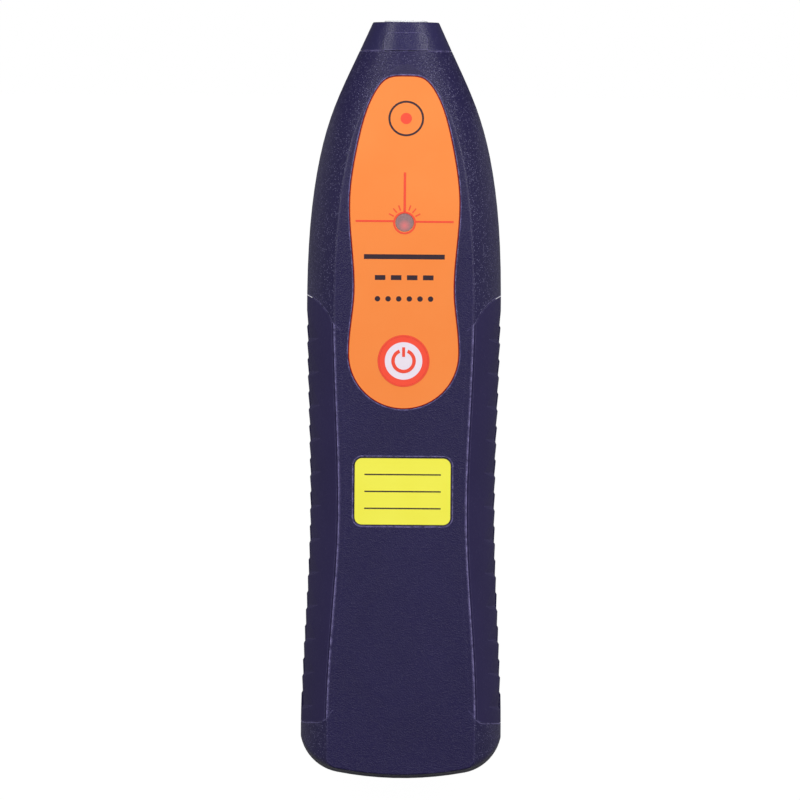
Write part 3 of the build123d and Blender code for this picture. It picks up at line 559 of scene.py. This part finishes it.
# The bead is painted shadow, coloured like a dark red ink.
wear(film_edge_shadow, ink("edge_shadow_ink", srgb(152, 24, 28)))
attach(film_edge_shadow, "housing")

fibre_x, fibre_y = 0.2 * mm, 64.8 * mm
fibre_end = ring(fibre_x, fibre_y, outer=4.1 * mm, inner=3.65 * mm)
fibre_end = lay([fibre_end], "fibre_end_print", "front_overlay", dark_ink)
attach(fibre_end, "housing")

beam_y, beam_length, beam_width = 47.8 * mm, 9.1 * mm, 0.53 * mm
arm_x, arm_length, arm_width = 6.95 * mm, 8.7 * mm, 0.44 * mm
left_arm_y, right_arm_y = 41.1 * mm, 41.0 * mm
ray_reach, ray_length, ray_width, ray_rise = 3.45 * mm, 1.25 * mm, 0.28 * mm, 0.1 * mm
red_lines = [
    bar(0, beam_y, beam_width, beam_length, cuts=9),
    bar(-arm_x, left_arm_y, arm_length, arm_width),
    bar(arm_x, right_arm_y, arm_length, arm_width),
    dot(fibre_x, fibre_y, 1.3 * mm, sides=48),
]
for ray_angle in (28, 50, 70, 110, 130, 152):
    aim = radians(ray_angle)
    red_lines.append(bar(
        ray_reach * cos(aim), window_y + ray_rise + ray_reach * sin(aim), ray_length, ray_width,
        turn=aim, cuts=3,
    ))
red_lines.append(ring(0, window_y - 0.08 * mm, outer=2.62 * mm, inner=2.2 * mm))
red_print = lay(red_lines, "red_print", "front_overlay", red_ink)
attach(red_print, "housing")

rule_y, rule_length, mark_height = 32.9 * mm, 18.6 * mm, 1.1 * mm
dash_y, dash_count, dash_pitch, dash_length = 28.1 * mm, 4, 3.7 * mm, 2.4 * mm
dot_y, dot_count, dot_pitch, dot_radius = 23.2 * mm, 6, 2.45 * mm, 0.62 * mm
dark_marks = [bar(0, rule_y, rule_length, mark_height)]
for place in range(dash_count):
    dash_x = (place - (dash_count - 1) / 2) * dash_pitch
    dark_marks.append(bar(dash_x, dash_y, dash_length, mark_height, cuts=3))
for place in range(dot_count):
    dark_marks.append(dot((place - (dot_count - 1) / 2) * dot_pitch, dot_y, dot_radius, sides=24))
pattern_print = lay(dark_marks, "pattern_print", "front_overlay", dark_ink)
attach(pattern_print, "housing")


# Power key.
# A moulded disc, level with the film, with a white face and a printed red rim. The usual power
# sign in red ink goes down with it when it is pressed.
def from_centre(tree, place, y):
    """How far each place lies from an upright line through a point on the tool's middle."""
    centred = put(tree, "ShaderNodeMapping", {"Vector": place, "Location": (0, -y, 0)}).outputs[0]
    flat = put(tree, "ShaderNodeVectorMath", {0: centred, 1: (1, 1, 0)}, operation="MULTIPLY")
    return put(
        tree, "ShaderNodeVectorMath", {0: flat.outputs[0]}, operation="LENGTH",
    ).outputs["Value"]


rim_inner, rim_outer = 4.28 * mm, 4.36 * mm
key_print, key_tree, key_shader, key_place = new_finish("key_print")
rim = spread(key_tree, from_centre(key_tree, key_place["Object"], key_y), rim_inner, rim_outer)
key_cloud = noise(key_tree, key_place["Object"], scale=420.0, detail=3.0)
key_look = blend(key_tree, key_cloud, srgb(238, 226, 240), srgb(246, 236, 247))
key_look = blend(key_tree, rim, key_look, srgb(253, 84, 62))
# The key darkens with painted shade in the gap round it.
feed(key_tree, key_shader, {
    "Base Color": shaded(
        key_tree, key_look, reach=0.3 * mm, depth=0.7, dark=srgb(120, 20, 20),
    ),
    "Roughness": spread(key_tree, key_cloud, at_low=0.32, at_high=0.44),
    "Specular IOR Level": 0.3,
})
dress(key_print, "power_button")

# Red collar printed on the film round the key; it just overhangs the key's rounded edge.
key_collar = ring(0, key_y, outer=5.98 * mm, inner=5.6 * mm)
key_collar.name = key_collar.data.name = "key_collar"
start_shaping(key_collar)
bpy.ops.transform.translate(value=(0, 0, key_high[2] + ink_layer - print_height))
stop_shaping()
thicken(key_collar, ink_layer)
wear(key_collar, red_ink)
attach(key_collar, "housing")

sign_outer, sign_inner, sign_gap = 2.82 * mm, 2.03 * mm, 0.98 * mm
stroke_rise, stroke_width, stroke_length = 2.05 * mm, 0.67 * mm, 2.2 * mm


def in_sign_gap(face):
    """Faces at the top of the sign's ring, where its stroke stands."""
    at = face.calc_center_median()
    return at.y > key_y and abs(at.x) < sign_gap


sign_arc = ring(0, key_y, sign_outer, sign_inner)
start_shaping(sign_arc)
pick(sign_arc, "faces", in_sign_gap)
bpy.ops.mesh.delete(type="FACE")
stop_shaping()
sign_stroke = bar(0, key_y + stroke_rise, stroke_width, stroke_length, cuts=3)
power_sign = lay([sign_arc, sign_stroke], "power_sign", "power_button", red_ink)
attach(power_sign, "power_key")

# Status window.
# A clear plastic rod with a frosted face, greyish over the dark housing, with the unlit lamp
# showing through as a pinkish patch low in it.
lamp_drop, lamp_core, lamp_reach = 0.7 * mm, 0.2 * mm, 1.5 * mm
frosted_window, window_tree, window_shader, window_place = new_finish("frosted_window")
lamp_away = from_centre(window_tree, window_place["Object"], window_y - lamp_drop)
lamp_shows = spread(window_tree, lamp_away, lamp_core, lamp_reach, at_low=1.0, at_high=0.0)
frost = noise(window_tree, window_place["Object"], scale=2600.0, detail=3.0)
frost_look = blend(window_tree, frost, srgb(122, 92, 96), srgb(178, 142, 144))
feed(window_tree, window_shader, {
    "Base Color": blend(window_tree, lamp_shows, frost_look, srgb(222, 122, 122)),
    "Roughness": spread(window_tree, frost, at_low=0.3, at_high=0.5),
    "Normal": relief_of(window_tree, frost, 0.02 * mm, strength=0.6),
})
dress(frosted_window, "led_window")

# Label.
# A plain yellow vinyl label with rounded corners, stuck in its own shallow recess.
label_vinyl, label_tree, label_shader, label_place = new_finish("label_vinyl")
vinyl_cloud = noise(label_tree, label_place["Object"], scale=140.0, detail=4.0)
vinyl_grain = noise(label_tree, label_place["Object"], scale=1800.0)
label_edge = edge_wear_and_light_masks(label_tree, width=0.3 * mm, evenness=0.5)["Edge"]
label_look = blend(label_tree, vinyl_cloud, srgb(249, 243, 76), srgb(253, 249, 88))
label_look = blend(label_tree, label_edge, label_look, srgb(236, 226, 76))
# The label darkens with painted shade in the gap round its recess.
feed(label_tree, label_shader, {
    "Base Color": shaded(
        label_tree, label_look, reach=0.3 * mm, depth=0.8, dark=srgb(60, 50, 20),
    ),
    "Roughness": spread(label_tree, vinyl_cloud, at_low=0.36, at_high=0.5),
    "Normal": relief_of(label_tree, vinyl_grain, 0.01 * mm, strength=0.3),
    "Specular IOR Level": 0.3,
})
dress(label_vinyl, "yellow_label")

# Write-on lines of the label.
# Three fine dark lines printed across the plain label, for a mark in pen.
label_low, label_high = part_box("yellow_label")
label_y = (label_low[1] + label_high[1]) / 2
line_pitch, line_length, line_width = 3.9 * mm, 17.6 * mm, 0.3 * mm
write_lines = [
    bar(0, label_y + step * line_pitch, line_length, line_width, cuts=3) for step in (-1, 0, 1)
]
label_lines = lay(write_lines, "label_lines", "yellow_label", dark_ink)
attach(label_lines, "housing")

# Flip cap and its plug.
# The cap is the same navy plastic with a smooth thumb tab in front, hinged at the back. The
# plug pressed into it is light grey elastomer, and its head is the disc at the tip.
dress(moulded(
    "cap_plastic", srgb(43, 39, 81), srgb(118, 110, 164), srgb(126, 122, 168),
    grain_size=0.34 * mm, relief=0.03 * mm, rough=0.36, edge_width=0.25 * mm, edge_share=0.6,
    glint_share=0.1, glint_strength=0.25, specular=0.4,
), "nose_cap")
dress(moulded(
    "plug_elastomer", srgb(220, 221, 225), srgb(234, 234, 238), srgb(240, 240, 243),
    grain_size=0.3 * mm, relief=0.01 * mm, rough=0.55, edge_width=0.2 * mm, glint_share=0.01,
), "cap_plug")

# Floor.
# A plain pale table top that ends under the nose, so that the cap can swing down past its edge.
# It is white to the camera and through glass, and still takes the tool's shadow.
table_reach, table_edge_y, table_gap = 3.0, 70 * mm, 0.05 * mm
floor_grey = (0.32, 0.32, 0.32, 1.0)
white, white_strength, white_share = (1, 1, 1, 1), 1.07, 0.93
bpy.ops.mesh.primitive_plane_add(
    size=2 * table_reach, location=(0, table_edge_y - table_reach, -table_gap),
)
floor = bpy.context.object
floor.name = "floor"
floor_white = bpy.data.materials.new("floor_white")
floor_white.use_nodes = True
floor_tree = floor_white.node_tree
floor_plain = floor_tree.nodes["Principled BSDF"]
feed(floor_tree, floor_plain, {"Base Color": floor_grey, "Roughness": 0.9})
floor_rays = put(floor_tree, "ShaderNodeLightPath").outputs
floor_lit = put(floor_tree, "ShaderNodeEmission", {"Color": white, "Strength": white_strength})
floor_seen = reckon(
    floor_tree, "MAXIMUM", floor_rays["Is Camera Ray"], floor_rays["Is Transmission Ray"],
)
floor_top = put(floor_tree, "ShaderNodeMixShader", {
    0: reckon(floor_tree, "MULTIPLY", floor_seen, white_share),
    1: floor_plain.outputs[0], 2: floor_lit.outputs[0],
})
floor_side = put(floor_tree, "ShaderNodeNewGeometry").outputs["Backfacing"]
floor_under = put(floor_tree, "ShaderNodeBsdfTransparent")
floor_faces = put(floor_tree, "ShaderNodeMixShader", {
    0: floor_side, 1: floor_top.outputs[0], 2: floor_under.outputs[0],
})
feed(floor_tree, floor_tree.nodes["Material Output"], {"Surface": floor_faces.outputs[0]})
wear(floor, floor_white)

# Light.
# Two long softboxes lean over the sides, three smaller ones stand round the nose end, and a
# dim room, white to the camera, fills the rest.
room_light = 0.1
room = bpy.data.worlds.new("room")
bpy.context.scene.world = room
room.use_nodes = True
room_tree = room.node_tree
room_rays = put(room_tree, "ShaderNodeLightPath").outputs
feed(room_tree, room_tree.nodes["Background"], {
    "Color": white,
    "Strength": spread(room_tree, room_rays["Is Camera Ray"], at_low=room_light),
})
aim_point = Vector((0, 0, 20 * mm))
for name, place, size, power in (
    ("left_softbox", (-0.55, 0.3, 0.6), (0.3, 0.8), 3.6),
    ("right_softbox", (0.6, 0.3, 0.55), (0.3, 0.8), 4.1),
    ("nose_softbox", (0.05, 0.5, 0.7), (0.3, 0.2), 1.1),
    ("left_nose_softbox", (-0.62, 0.72, 0.46), (0.22, 0.4), 1.6),
    ("right_nose_softbox", (0.62, 0.72, 0.46), (0.22, 0.4), 1.8),
):
    bpy.ops.object.light_add(type="AREA", location=place)
    lamp = bpy.context.object
    lamp.name = name
    lamp.data.shape = "RECTANGLE"
    lamp.data.size, lamp.data.size_y = size
    lamp.data.energy = power
    lamp.rotation_euler = (aim_point - Vector(place)).to_track_quat("-Z", "Y").to_euler()

# Camera.
# It looks straight down on the front face from well back, turned a little because the tool
# lies slightly askew in the picture.
camera_x, camera_y, camera_height = -0.75 * mm, -0.1 * mm, 5.0
front_height = 12 * mm
picture_width = 184.9 * mm      # what the picture takes in, across, at that height
lie = radians(0.44)
bpy.ops.object.camera_add(location=(camera_x, camera_y, camera_height), rotation=(0, 0, lie))
camera = bpy.context.object
camera.data.sensor_width = 36.0
camera.data.lens = camera.data.sensor_width * (camera_height - front_height) / picture_width
camera.data.clip_start, camera.data.clip_end = 0.01, 20.0
bpy.context.scene.camera = camera
bpy.context.scene.view_settings.view_transform = "Standard"

bpy.context.view_layer.update()
